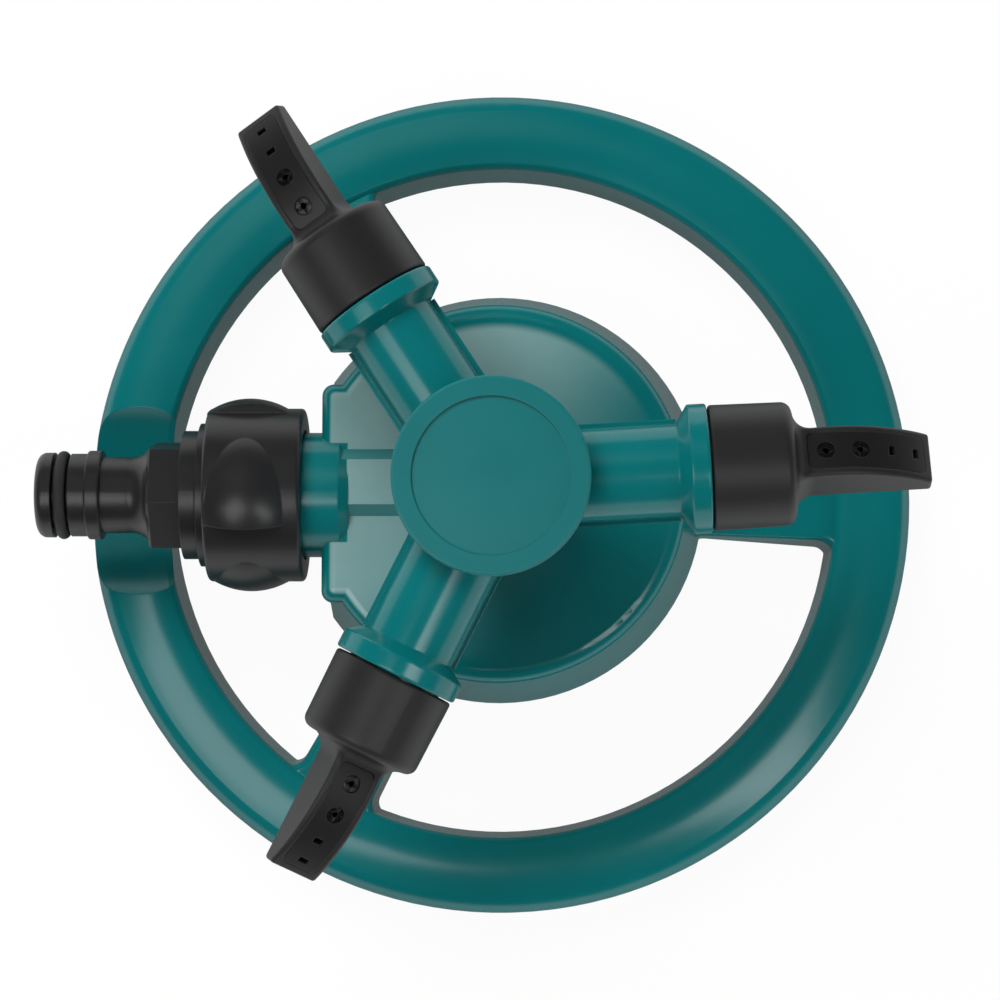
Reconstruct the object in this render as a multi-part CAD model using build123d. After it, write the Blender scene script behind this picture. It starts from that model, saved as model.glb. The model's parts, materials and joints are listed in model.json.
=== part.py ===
from build123d import *
import os
from math import asin, degrees, sqrt, tan, radians

# A three-arm rotating lawn sprinkler on a ring base. Lengths are millimetres, angles degrees.
# The origin is the ring's centre on the ground, +Z is up and the hose inlet points along -X.
# Inlet pieces, spokes, arms and nozzles are drawn pointing along +X and then turned into place.

# Ring
RING_DIAMETER = 172.0
RING_WIDTH = 17.0
RING_EDGE_HEIGHT = 13.6
RING_CROWN = 2.2
RING_DRAFT = 0.8
RING_OUTER_ROUND = 5.0
RING_INNER_ROUND = 2.0
BASE_WALL = 2.4
SMALLEST_ROUND = 0.4

# The ring dips under the inlet so that a hose connector has room
DIP_FLOOR = 7.0

# Drum
DRUM_FOOT_RADIUS = 42.0
DRUM_RIM_RADIUS = 37.6
DRUM_HEIGHT = 23.0
DRUM_TOP_HEIGHT = 41.0
DRUM_RIM_ROUND = 3.0
FRONT_DISTANCE = 35.2
FRONT_WIDTH = 44.0
FRONT_ROUND = 2.4
FRONT_STEP = 1.0
RIB_WIDTH = 2.0
RIB_ANGLES = (-60.0, 60.0)

# Spokes
ARM_COUNT = 3
SPOKE_WIDTH = 18.2
SPOKE_DRAFT_ANGLE = 4.0
SPOKE_LAP = 3.6
SPOKE_CORNER_ROUND = 2.5
SPOKE_EDGE_ROUND = 1.4
SPOKE_OVERLAP = 3.0
SPOKE_BITE = 0.5

# Inlet port
INLET_DEPTH = 8.0
WATERWAY_RADIUS = 6.0
PIPE_WALL = 2.6
THREAD_RADIUS = 13.2
THREAD_DEPTH = 0.9
PORT_LENGTH = 9.5
PORT_CHAMFER = 0.8
COLLAR_RADIUS = 12.6
COLLAR_BACK = 29.7
COLLAR_SLOPE = 1.8
COLLAR_FRONT = 39.0
HOOD_WIDTH = 13.4
HOOD_TOP_WIDTH = 9.0
HOOD_HEIGHT = 2.2
HOOD_OFFSET = 2.0

# Riser and stem
RISER_RADIUS = 13.0
RISER_HEIGHT = 13.0
RISER_FOOT = 2.5
RISER_FLOOR = 7.0
STEM_BORE_RADIUS = 5.5
STEM_THREAD_RADIUS = 7.4
STEM_JOURNAL_RADIUS = 8.0
STEM_SEAT_DEPTH = 4.0
STEM_FLANGE_RADIUS = 11.5
STEM_FLANGE_THICKNESS = 3.0
STEM_SLOT_WIDTH = 3.0
STEM_SLOT_DEPTH = 1.2
GASKET_THICKNESS = 1.5
GASKET_RIM = 0.1
WASHER_RADIUS = 12.0
WASHER_THICKNESS = 1.2
BUSH_RADIUS = 10.0
BUSH_FLANGE_THICKNESS = 1.5

# Rotor
ARM_TURN = 3.3
HUB_RADIUS = 17.6
HUB_WALL = 2.6
HUB_BRIM = 2.55
HUB_BOSS_RADIUS = 13.5
HUB_BOSS_HEIGHT = 5.2
HUB_FLOOR = 4.0
HUB_FLOOR_DROP = 2.6
TUBE_RADIUS = 8.85
TUBE_BORE_RADIUS = 6.4
PARTING_RIB_WIDTH = 0.9
PARTING_RIB_HEIGHT = 0.8
FLANGE_REACH = 41.0
FLANGE_RADIUS = 12.3
FLANGE_WIDTH = 3.6
FLANGE_CONE = 2.2
FLANGE_ROUND = 0.5
SPIGOT_RADIUS = 9.3
SPIGOT_LENGTH = 12.0
SPIGOT_SEAL_AT = 5.6
SNAP_BEAD_AT = 9.6
SNAP_BEAD_WIDTH = 1.2
SNAP_BEAD_RISE = 0.45
SEAL_SECTION = 1.4
SEAL_GROOVE_WIDTH = 2.2

# Hub cap
CAP_RADIUS = 18.65
CAP_THICKNESS = 3.6
CAP_EDGE_ROUND = 0.5
CAP_INSET_RADIUS = 14.8
CAP_INSET_DEPTH = 0.5
CAP_DOME = 0.4
CAP_PLUG_LENGTH = 4.4
CAP_PLUG_WALL = 2.8

# Nozzles
NOZZLE_TWISTS = (18.0, 16.0, 25.0)
SLEEVE_RADIUS = 11.95
SLEEVE_TAPER = 0.25
SLEEVE_LENGTH = 15.7
SLEEVE_ROUND = 0.6
SLEEVE_END_ROUND = 2.0
SLEEVE_END_WALL = 3.4
SNAP_GROOVE_ROOM = 0.2
SPRAY_BAR_LENGTH = 26.0
SPRAY_BAR_WIDTH = 10.0
SPRAY_BAR_DEPTH = 5.0
SPRAY_BAR_TOP = 5.7
SPRAY_ARC_RADIUS = 30.0
SPRAY_ARC_CREST = 23.0
SPRAY_BAR_ROUND = 0.7
SPRAY_ROOT_ROUND = 3.6
CHANNEL_WIDTH = 5.0
CHANNEL_DEPTH = 3.0
PLATE_START = 2.4
PLATE_MARGIN = 1.3
PLATE_THICKNESS = 1.6
PLATE_CORNER_ROUND = 1.2
PLATE_LEDGE = 1.0
JET_RADIUS = 1.65
JET_ORIFICE_RADIUS = 0.55
JET_SINK = 0.15
JET_CROSS_WIDTH = 0.4
JET_CROSS_DEPTH = 0.25
JET_PLACES = (-1.1, 5.5)
SLOT_LENGTH = 1.8
SLOT_WIDTH = 1.1
SLOT_PLACES = (11.4, 16.0)

# Hose nipple, measured outward from the port's end face
WASHER_SEAT = 3.0
HOSE_WASHER_RADIUS = 12.7
HOSE_WASHER_BORE_RADIUS = 7.0
NIPPLE_BORE_RADIUS = 5.0
TAIL_RADIUS = 9.95
TAIL_LENGTH = 8.5
NIPPLE_FLANGE_RADIUS = 13.0
NIPPLE_FLANGE_WIDTH = 3.3
HEX_RADIUS = 11.6
HEX_WIDTH = 6.9
HEX_TURN = -11.0
HEX_CHAMFER = 0.6
FLARE_LENGTH = 4.4
NECK_RADIUS = 7.7
NECK_LENGTH = 5.2
LOCK_RIB_RADIUS = 9.0
LOCK_RIB_WIDTH = 3.0
LOCK_RIB_ROUND = 0.4
LAND_RADIUS = 8.4
LAND_WIDTH = 3.4
O_RING_RADIUS = 8.95
O_RING_SECTION = 2.4
O_RING_GROOVE_WIDTH = 3.4
TIP_RADIUS = 8.6
TIP_LENGTH = 3.4
TIP_ROUND = 1.8

# Swivel nut and its snap ring
NUT_LENGTH = 21.0
NUT_RADIUS = 17.5
NUT_END_WALL = 3.0
NUT_EDGE_ROUND = 0.8
NUT_LIP_RADIUS = 14.5
NUT_LIP_LENGTH = 1.6
NUT_LOBES = 4
NUT_LOBE_TURN = -24.0
NUT_LOBE_RISE = 2.25
NUT_LOBE_BULGE = 16.0
NUT_LOBE_MARGIN = 2.6
NUT_LOBE_SINK = 0.3
SNAP_RING_THICKNESS = 1.2
SNAP_RING_RADIUS = 12.2
SNAP_RING_DEPTH = 1.1
SNAP_RING_OPENING = 60.0

# Clearances
RUNNING_GAP = 0.06
SEAT_GAP = 0.02
SEAL_GAP = 0.04
THRUST_GAP = 0.1
SNAP_GAP = 0.12
NOZZLE_END_GAP = 0.3
CUT = 1.0

# Places that follow from the sizes above
RING_RADIUS = RING_DIAMETER / 2
RING_INNER_RADIUS = RING_RADIUS - RING_WIDTH
DRUM_FLARE = (DRUM_FOOT_RADIUS - DRUM_RIM_RADIUS) / DRUM_HEIGHT
DRUM_FOOT_HEIGHT = DRUM_TOP_HEIGHT - DRUM_HEIGHT
INLET_HEIGHT = DRUM_TOP_HEIGHT - INLET_DEPTH
DIP_RADIUS = INLET_HEIGHT - DIP_FLOOR
PIPE_RADIUS = WATERWAY_RADIUS + PIPE_WALL
PORT_RADIUS = THREAD_RADIUS - THREAD_DEPTH
PORT_END = COLLAR_FRONT + PORT_LENGTH
RISER_TOP = DRUM_TOP_HEIGHT + RISER_HEIGHT
RISER_SHOULDER = INLET_HEIGHT + RISER_FLOOR
STEM_SEAT = RISER_TOP - STEM_SEAT_DEPTH
BUSH_BOTTOM = RISER_TOP + WASHER_THICKNESS + THRUST_GAP
BOSS_BOTTOM = BUSH_BOTTOM + BUSH_FLANGE_THICKNESS
HUB_BOTTOM = BOSS_BOTTOM + HUB_BOSS_HEIGHT
HUB_FLOOR_TOP = HUB_BOTTOM + HUB_FLOOR
STEM_FLANGE_BOTTOM = HUB_FLOOR_TOP + WASHER_THICKNESS + THRUST_GAP
ARM_AXIS_HEIGHT = HUB_FLOOR_TOP + HUB_FLOOR_DROP + TUBE_BORE_RADIUS
HUB_TOP_HEIGHT = ARM_AXIS_HEIGHT + TUBE_RADIUS + HUB_BRIM
HUB_BORE_RADIUS = HUB_RADIUS - HUB_WALL
SPIGOT_END = FLANGE_REACH + SPIGOT_LENGTH
SLEEVE_START = FLANGE_REACH + NOZZLE_END_GAP
SLEEVE_END = SLEEVE_START + SLEEVE_LENGTH
SLEEVE_BORE_END = SLEEVE_END - SLEEVE_END_WALL
NOZZLE_TIP = SLEEVE_END + SPRAY_BAR_LENGTH
SPRAY_ARC_X = FLANGE_REACH + SPRAY_ARC_CREST
SPRAY_ARC_Z = SPRAY_BAR_TOP - SPRAY_ARC_RADIUS
TAIL_START = PORT_END + WASHER_SEAT
TAIL_END = TAIL_START + TAIL_LENGTH
NIPPLE_FLANGE_END = TAIL_END + NIPPLE_FLANGE_WIDTH
HEX_END = NIPPLE_FLANGE_END + HEX_WIDTH
FLARE_END = HEX_END + FLARE_LENGTH
LOCK_RIB_START = FLARE_END + NECK_LENGTH
LAND_START = LOCK_RIB_START + LOCK_RIB_WIDTH
GROOVE_START = LAND_START + LAND_WIDTH
TIP_START = GROOVE_START + O_RING_GROOVE_WIDTH
NIPPLE_TIP = TIP_START + TIP_LENGTH
NUT_OUTER_END = TAIL_END - SNAP_GAP
NUT_INNER_END = NUT_OUTER_END - NUT_LENGTH
SNAP_RING_AT = NUT_OUTER_END - NUT_END_WALL - SNAP_GAP


def outline(*corners):
    """Closed flat outline in the XZ plane through (x, z) corners."""
    return Plane.XZ * make_face(Polyline(*corners, close=True))


def rounded(face, radius, *corners):
    """The outline with the corners nearest to these (x, z) places rounded."""
    for x, z in corners:
        face = fillet(face.vertices().sort_by_distance((x, 0, z))[0], radius)
    return face


def turned(*corners, axis=Axis.Z):
    """Solid turned from an outline of (x, z) corners."""
    return revolve(outline(*corners), axis)


def upright_ring(inner, outer, low, high):
    """Ring about the Z axis."""
    return turned((inner, low), (outer, low), (outer, high), (inner, high))


def lying_ring(inner, outer, near, far):
    """Ring about the X axis."""
    return turned((near, inner), (far, inner), (far, outer), (near, outer), axis=Axis.X)


def slab(near, far, width, low, high):
    """Box from near to far along X, centred across Y."""
    return Pos((near + far) / 2, 0, (low + high) / 2) * Box(far - near, width, high - low)


def upright_cylinder(radius, low, high):
    """Cylinder about the Z axis."""
    return Pos(0, 0, (low + high) / 2) * Cylinder(radius, high - low)


def lying_cylinder(radius, near, far):
    """Cylinder about the X axis."""
    return Pos((near + far) / 2, 0, 0) * Rot(0, 90, 0) * Cylinder(radius, far - near)


def seal_ring(floor, bore):
    """O-ring about the Z axis that fills a groove between its floor and the bore around it."""
    return Torus((floor + bore) / 2, (bore - floor) / 2 - SEAL_GAP)


def around(shape):
    """Copies of a shape, one for each arm, about the Z axis."""
    return [Rot(0, 0, 360 / ARM_COUNT * index) * shape for index in range(ARM_COUNT)]


def at_inlet(shape):
    """Turns a shape drawn along +X onto the inlet's axis."""
    return Pos(0, 0, INLET_HEIGHT) * Rot(0, 0, 180) * shape


def at_arm(index, shape, twist=0):
    """Turns a shape drawn along +X onto one arm's axis, its top leaning with the twist."""
    angle = ARM_TURN + 360 / ARM_COUNT * index
    return Pos(0, 0, ARM_AXIS_HEIGHT) * Rot(0, 0, angle) * Rot(-twist, 0, 0) * shape


def ring_section(inset, foot):
    """Section of the ring, or of its hollow when inset by the wall."""
    inner = RING_INNER_RADIUS + inset
    outer = RING_RADIUS - inset
    edge = RING_EDGE_HEIGHT - inset
    lip = inner + RING_DRAFT
    brow = outer - RING_DRAFT
    sides = Polyline((lip, edge), (inner, foot), (outer, foot), (brow, edge))
    crown = ThreePointArc((brow, edge), ((lip + brow) / 2, edge + RING_CROWN), (lip, edge))
    section = Plane.XZ * make_face([sides, crown])
    section = rounded(section, max(RING_OUTER_ROUND - inset, SMALLEST_ROUND), (brow, edge))
    return rounded(section, max(RING_INNER_ROUND - inset, SMALLEST_ROUND), (lip, edge))


def dip_cut(radius):
    """Round trough across the ring under the inlet."""
    return at_inlet(lying_cylinder(radius, RING_INNER_RADIUS - RING_WIDTH, RING_RADIUS + CUT))


def ring():
    """Hollow ring that stands on the ground, with its dip."""
    solid = revolve(ring_section(0, 0), Axis.Z) - dip_cut(DIP_RADIUS)
    hollow = revolve(ring_section(BASE_WALL, -CUT), Axis.Z) - dip_cut(DIP_RADIUS + BASE_WALL)
    return solid, hollow


def drum():
    """Flared drum with a squared front, and its hollow."""
    body = turned(
        (0, DRUM_FOOT_HEIGHT),
        (DRUM_FOOT_RADIUS, DRUM_FOOT_HEIGHT),
        (DRUM_RIM_RADIUS, DRUM_TOP_HEIGHT),
        (0, DRUM_TOP_HEIGHT),
    )
    beyond = 2 * DRUM_FOOT_RADIUS
    front = slab(0, FRONT_DISTANCE, FRONT_WIDTH, DRUM_FOOT_HEIGHT, DRUM_TOP_HEIGHT)
    front = fillet(front.edges().filter_by(Axis.Z).group_by(Axis.X)[-1], FRONT_ROUND)
    body -= Rot(0, 0, 180) * slab(FRONT_DISTANCE - FRONT_STEP, beyond, beyond, 0, DRUM_TOP_HEIGHT + CUT)
    body += Rot(0, 0, 180) * front
    solid = fillet(body.faces().sort_by(Axis.Z)[-1].outer_wire().edges(), DRUM_RIM_ROUND)

    low = DRUM_FOOT_HEIGHT - CUT
    high = DRUM_TOP_HEIGHT - BASE_WALL
    hollow = turned(
        (0, low),
        (DRUM_FOOT_RADIUS - BASE_WALL + DRUM_FLARE * CUT, low),
        (DRUM_RIM_RADIUS - BASE_WALL + DRUM_FLARE * BASE_WALL, high),
        (0, high),
    )
    inside = FRONT_DISTANCE - BASE_WALL
    hollow -= Rot(0, 0, 180) * slab(inside, beyond, beyond, 0, high + CUT)
    hollow += Rot(0, 0, 180) * slab(0, inside, FRONT_WIDTH - 2 * BASE_WALL, low, high)
    return solid, hollow


def spoke():
    """Channel-shaped spoke that climbs from the ring to the drum, and its hollow."""
    drum_end = DRUM_FOOT_RADIUS - SPOKE_BITE
    ring_end = RING_INNER_RADIUS + SPOKE_BITE
    near = drum_end - SPOKE_OVERLAP
    far = ring_end + SPOKE_OVERLAP
    half = SPOKE_WIDTH / 2
    middle = (near + far) / 2
    bar = Pos(middle, 0) * Rectangle(far - near, SPOKE_WIDTH)
    plan = Circle(drum_end) + bar + (Circle(far + SPOKE_WIDTH) - Circle(ring_end))
    for radius in (drum_end, ring_end):
        for side in (-half, half):
            corner = (sqrt(radius**2 - half**2), side, 0)
            plan = fillet(plan.vertices().sort_by_distance(corner)[0], SPOKE_CORNER_ROUND)
    plan = plan & Pos(middle, 0) * Rectangle(far - near, SPOKE_WIDTH + 3 * SPOKE_CORNER_ROUND)

    top_at_drum = DRUM_FOOT_HEIGHT + SPOKE_LAP
    slope = (top_at_drum - RING_EDGE_HEIGHT) / (RING_INNER_RADIUS - DRUM_FOOT_RADIUS)
    under_at_drum = DRUM_FOOT_HEIGHT - BASE_WALL / 2
    under_slope = under_at_drum / (ring_end - DRUM_FOOT_RADIUS)

    def top(x):
        return top_at_drum - slope * (x - DRUM_FOOT_RADIUS)

    side_view = outline(
        (near, under_at_drum + under_slope * (DRUM_FOOT_RADIUS - near)),
        (ring_end, 0),
        (far, 0),
        (far, top(far)),
        (near, top(near) + CUT),
    )
    solid = extrude(plan, top_at_drum + 2 * CUT, taper=SPOKE_DRAFT_ANGLE)
    solid = solid & extrude(side_view, SPOKE_WIDTH + 3 * SPOKE_CORNER_ROUND, both=True)
    top_face = solid.faces().sort_by(lambda face: face.normal_at().Z)[-1]
    sides = top_face.edges().filter_by(lambda edge: abs(edge.center().Y) > half / 2)
    solid = fillet(sides.filter_by(lambda edge: edge.center().X < ring_end), SPOKE_EDGE_ROUND)

    pocket_width = SPOKE_WIDTH - 2 * BASE_WALL - 2 * top_at_drum * tan(radians(SPOKE_DRAFT_ANGLE))
    pocket_near = DRUM_FOOT_RADIUS + BASE_WALL
    pocket_far = RING_INNER_RADIUS - BASE_WALL
    pocket = outline(
        (pocket_near, -CUT),
        (pocket_far, -CUT),
        (pocket_far, top(pocket_far) - BASE_WALL),
        (pocket_near, top(pocket_near) - BASE_WALL),
    )
    return solid, extrude(pocket, pocket_width / 2, both=True)


def inlet_port():
    """Pipe, collar and port at its thread's root, drawn along +X without the waterway."""
    pipe = lying_cylinder(PIPE_RADIUS, 0, FRONT_DISTANCE)
    port = turned(
        (COLLAR_BACK, 0),
        (COLLAR_BACK, COLLAR_RADIUS - COLLAR_SLOPE),
        (COLLAR_BACK + COLLAR_SLOPE, COLLAR_RADIUS),
        (COLLAR_FRONT, COLLAR_RADIUS),
        (COLLAR_FRONT, PORT_RADIUS),
        (PORT_END - PORT_CHAMFER, PORT_RADIUS),
        (PORT_END, PORT_RADIUS - PORT_CHAMFER),
        (PORT_END, 0),
        axis=Axis.X,
    )
    return pipe + port


def inlet_hood():
    """Raised strip on the drum's top from the collar to the riser."""
    low = DRUM_TOP_HEIGHT - BASE_WALL / 2
    high = DRUM_TOP_HEIGHT + HOOD_HEIGHT
    flank = (HOOD_WIDTH - HOOD_TOP_WIDTH) / 2 * (high - low) / HOOD_HEIGHT
    foot = HOOD_TOP_WIDTH / 2 + flank
    crest = HOOD_TOP_WIDTH / 2
    end_view = Polyline((-foot, low), (foot, low), (crest, high), (-crest, high), close=True)
    hood = extrude(Plane.YZ * make_face(end_view), -COLLAR_BACK - COLLAR_SLOPE)
    return Pos(0, HOOD_OFFSET, 0) * hood


def riser():
    """Tube that carries the stem, without its bore."""
    bottom = INLET_HEIGHT - PIPE_RADIUS - PIPE_WALL / 2
    return turned(
        (0, bottom),
        (PIPE_RADIUS + PIPE_WALL, bottom),
        (PIPE_RADIUS + PIPE_WALL, DRUM_TOP_HEIGHT - BASE_WALL / 2),
        (RISER_RADIUS + RISER_FOOT, DRUM_TOP_HEIGHT - BASE_WALL / 2),
        (RISER_RADIUS + RISER_FOOT, DRUM_TOP_HEIGHT),
        (RISER_RADIUS, DRUM_TOP_HEIGHT + RISER_FOOT),
        (RISER_RADIUS, RISER_TOP),
        (0, RISER_TOP),
    )


def waterway():
    """Bore of the inlet, its elbow and the stepped bore for the stem."""
    lying = at_inlet(lying_cylinder(WATERWAY_RADIUS, 0, PORT_END + CUT))
    elbow = Pos(0, 0, INLET_HEIGHT) * Sphere(WATERWAY_RADIUS)
    thread = STEM_THREAD_RADIUS + SEAT_GAP
    seat = STEM_JOURNAL_RADIUS + SEAT_GAP
    standing = turned(
        (0, INLET_HEIGHT),
        (WATERWAY_RADIUS, INLET_HEIGHT),
        (WATERWAY_RADIUS, RISER_SHOULDER),
        (thread, RISER_SHOULDER),
        (thread, STEM_SEAT),
        (seat, STEM_SEAT),
        (seat, RISER_TOP + CUT),
        (0, RISER_TOP + CUT),
    )
    return lying + elbow + standing


def drum_ribs():
    """Ribs under the drum's top, from the riser to the wall."""
    low = DRUM_FOOT_HEIGHT + BASE_WALL
    high = DRUM_TOP_HEIGHT - BASE_WALL / 2
    reach = DRUM_FOOT_RADIUS - BASE_WALL / 2
    side_view = outline(
        (PIPE_RADIUS, low),
        (reach - DRUM_FLARE * (low - DRUM_FOOT_HEIGHT), low),
        (reach - DRUM_FLARE * (high - DRUM_FOOT_HEIGHT), high),
        (PIPE_RADIUS, high),
    )
    rib = extrude(side_view, RIB_WIDTH / 2, both=True)
    return [Rot(0, 0, angle) * rib for angle in RIB_ANGLES]


def base_frame():
    """The moulded base: ring, spokes, drum, inlet port and riser."""
    ring_solid, ring_hollow = ring()
    drum_solid, drum_hollow = drum()
    spoke_solid, spoke_hollow = spoke()
    frame = ring_solid + drum_solid + around(spoke_solid)
    frame = frame - ring_hollow - drum_hollow - around(spoke_hollow)
    frame = frame + at_inlet(inlet_port()) + inlet_hood() + riser() + drum_ribs()
    return frame - waterway()


def pivot_stem():
    """Hollow flanged stem that screws into the riser."""
    bottom = RISER_SHOULDER + GASKET_THICKNESS
    top = STEM_FLANGE_BOTTOM + STEM_FLANGE_THICKNESS
    stem = turned(
        (STEM_BORE_RADIUS, bottom),
        (STEM_THREAD_RADIUS, bottom),
        (STEM_THREAD_RADIUS, STEM_SEAT),
        (STEM_JOURNAL_RADIUS, STEM_SEAT),
        (STEM_JOURNAL_RADIUS, STEM_FLANGE_BOTTOM),
        (STEM_FLANGE_RADIUS, STEM_FLANGE_BOTTOM),
        (STEM_FLANGE_RADIUS, top),
        (STEM_BORE_RADIUS, top),
    )
    return stem - slab(-WASHER_RADIUS, WASHER_RADIUS, STEM_SLOT_WIDTH, top - STEM_SLOT_DEPTH, top + CUT)


def stem_seal():
    """Flat gasket on the riser's shoulder."""
    return upright_ring(
        WATERWAY_RADIUS,
        STEM_THREAD_RADIUS - GASKET_RIM,
        RISER_SHOULDER,
        RISER_SHOULDER + GASKET_THICKNESS,
    )


def thrust_washer(bottom):
    """Plain washer round the stem."""
    return upright_ring(
        STEM_JOURNAL_RADIUS + RUNNING_GAP, WASHER_RADIUS, bottom, bottom + WASHER_THICKNESS
    )


def hub_bush():
    """Flanged bush in the hub's floor."""
    bore = STEM_JOURNAL_RADIUS + RUNNING_GAP
    return turned(
        (bore, BUSH_BOTTOM),
        (WASHER_RADIUS, BUSH_BOTTOM),
        (WASHER_RADIUS, BOSS_BOTTOM),
        (BUSH_RADIUS, BOSS_BOTTOM),
        (BUSH_RADIUS, HUB_FLOOR_TOP),
        (bore, HUB_FLOOR_TOP),
    )


def rotor_arm():
    """One tube with its end flange and spigot, drawn along +X without the bore."""
    cone_start = FLANGE_REACH - FLANGE_WIDTH - FLANGE_CONE
    rim_start = FLANGE_REACH - FLANGE_WIDTH
    section = outline(
        (0, 0),
        (0, TUBE_RADIUS),
        (cone_start, TUBE_RADIUS),
        (rim_start, FLANGE_RADIUS),
        (FLANGE_REACH, FLANGE_RADIUS),
        (FLANGE_REACH, SPIGOT_RADIUS),
        (SPIGOT_END, SPIGOT_RADIUS),
        (SPIGOT_END, 0),
    )
    section = rounded(section, FLANGE_ROUND, (rim_start, FLANGE_RADIUS), (FLANGE_REACH, FLANGE_RADIUS))
    arm = revolve(section, Axis.X)
    bead_start = FLANGE_REACH + SNAP_BEAD_AT
    bead_end = bead_start + SNAP_BEAD_WIDTH
    arm += turned(
        (bead_start, TUBE_BORE_RADIUS),
        (bead_start, SPIGOT_RADIUS),
        ((bead_start + bead_end) / 2, SPIGOT_RADIUS + SNAP_BEAD_RISE),
        (bead_end, SPIGOT_RADIUS),
        (bead_end, TUBE_BORE_RADIUS),
        axis=Axis.X,
    )
    groove = FLANGE_REACH + SPIGOT_SEAL_AT
    arm -= lying_ring(
        SPIGOT_RADIUS - SEAL_SECTION,
        SPIGOT_RADIUS + CUT,
        groove - SEAL_GROOVE_WIDTH / 2,
        groove + SEAL_GROOVE_WIDTH / 2,
    )
    parting_width = 2 * (TUBE_RADIUS + PARTING_RIB_WIDTH)
    return arm + slab(0, cone_start, parting_width, -PARTING_RIB_HEIGHT, 0)


def rotor_body():
    """The moulded rotor: hub cup, arms, flanges and spigots."""
    hub = turned(
        (0, BOSS_BOTTOM),
        (HUB_BOSS_RADIUS, BOSS_BOTTOM),
        (HUB_BOSS_RADIUS, HUB_BOTTOM - FLANGE_ROUND),
        (HUB_RADIUS - HUB_WALL, HUB_BOTTOM),
        (HUB_RADIUS, HUB_BOTTOM + HUB_WALL),
        (HUB_RADIUS, HUB_TOP_HEIGHT),
        (0, HUB_TOP_HEIGHT),
    )
    cup = upright_cylinder(HUB_BORE_RADIUS, HUB_FLOOR_TOP, HUB_TOP_HEIGHT + CUT)
    bush_hole = upright_cylinder(BUSH_RADIUS + SEAT_GAP, BOSS_BOTTOM - CUT, HUB_FLOOR_TOP + CUT)
    bore = lying_cylinder(TUBE_BORE_RADIUS, 0, SPIGOT_END + CUT)
    body = hub + [at_arm(index, rotor_arm()) for index in range(ARM_COUNT)]
    return body - cup - bush_hole - [at_arm(index, bore) for index in range(ARM_COUNT)]


def hub_cap():
    """Round cap with a shallow bare inset and a plug that carries its seal."""
    top = HUB_TOP_HEIGHT + CAP_THICKNESS
    plug_bottom = HUB_TOP_HEIGHT - CAP_PLUG_LENGTH
    plug_radius = HUB_BORE_RADIUS - SEAT_GAP
    seal_at = HUB_TOP_HEIGHT - CAP_PLUG_LENGTH / 2
    inset = top - CAP_INSET_DEPTH
    walls = Polyline(
        (0, inset + CAP_DOME),
        (0, HUB_TOP_HEIGHT),
        (plug_radius - CAP_PLUG_WALL, HUB_TOP_HEIGHT),
        (plug_radius - CAP_PLUG_WALL, plug_bottom),
        (plug_radius, plug_bottom),
        (plug_radius, HUB_TOP_HEIGHT),
        (CAP_RADIUS, HUB_TOP_HEIGHT),
        (CAP_RADIUS, top),
        (CAP_INSET_RADIUS, top),
        (CAP_INSET_RADIUS, inset),
    )
    dome = TangentArc((0, inset + CAP_DOME), (CAP_INSET_RADIUS, inset), tangent=(1, 0))
    section = Plane.XZ * make_face([walls, dome])
    cap = revolve(rounded(section, CAP_EDGE_ROUND, (CAP_RADIUS, top)), Axis.Z)
    return cap - upright_ring(
        HUB_BORE_RADIUS - SEAL_SECTION,
        HUB_BORE_RADIUS + CUT,
        seal_at - SEAL_GROOVE_WIDTH / 2,
        seal_at + SEAL_GROOVE_WIDTH / 2,
    )


def cap_seal():
    """O-ring round the cap's plug."""
    ring_at = HUB_TOP_HEIGHT - CAP_PLUG_LENGTH / 2
    return Pos(0, 0, ring_at) * seal_ring(HUB_BORE_RADIUS - SEAL_SECTION, HUB_BORE_RADIUS)


def nozzle_seal():
    """O-ring on one spigot, drawn along +X."""
    ring_at = FLANGE_REACH + SPIGOT_SEAL_AT
    seal = seal_ring(SPIGOT_RADIUS - SEAL_SECTION, SPIGOT_RADIUS + RUNNING_GAP)
    return Pos(ring_at, 0, 0) * Rot(0, 90, 0) * seal


def spray_round(radius):
    """Lying drum whose rim is the spray bar's curved top when it has the arc's radius."""
    return Pos(SPRAY_ARC_X, 0, SPRAY_ARC_Z) * Rot(90, 0, 0) * Cylinder(radius, 2 * SPRAY_BAR_WIDTH)


def plate_prism(margin):
    """Upright prism over the spray bar, inset by a margin from its edges."""
    near = SLEEVE_END + PLATE_START - PLATE_MARGIN + margin
    far = NOZZLE_TIP - margin
    plan = Rectangle(far - near, SPRAY_BAR_WIDTH - 2 * margin)
    plan = fillet(plan.vertices(), PLATE_CORNER_ROUND)
    return Pos((near + far) / 2, 0, 0) * extrude(plan, SPRAY_BAR_WIDTH, both=True)


def on_spray_arc(place, shape):
    """Stands a shape on the spray bar's curved top, this far along the arm from the curve's crest."""
    lean = degrees(asin(place / SPRAY_ARC_RADIUS))
    return Pos(SPRAY_ARC_X, 0, SPRAY_ARC_Z) * Rot(0, lean, 0) * Pos(0, 0, SPRAY_ARC_RADIUS) * shape


def spray_bar():
    """Curved bar at the end of the sleeve, before it is hollowed."""
    start = SLEEVE_END - SLEEVE_END_WALL / 2
    high = SPRAY_BAR_TOP + CUT
    bar = slab(start, NOZZLE_TIP, SPRAY_BAR_WIDTH, -SPRAY_BAR_DEPTH, high)
    bar = bar & spray_round(SPRAY_ARC_RADIUS)
    return fillet(bar.edges().filter_by(lambda edge: edge.center().X > SLEEVE_END), SPRAY_BAR_ROUND)


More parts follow.
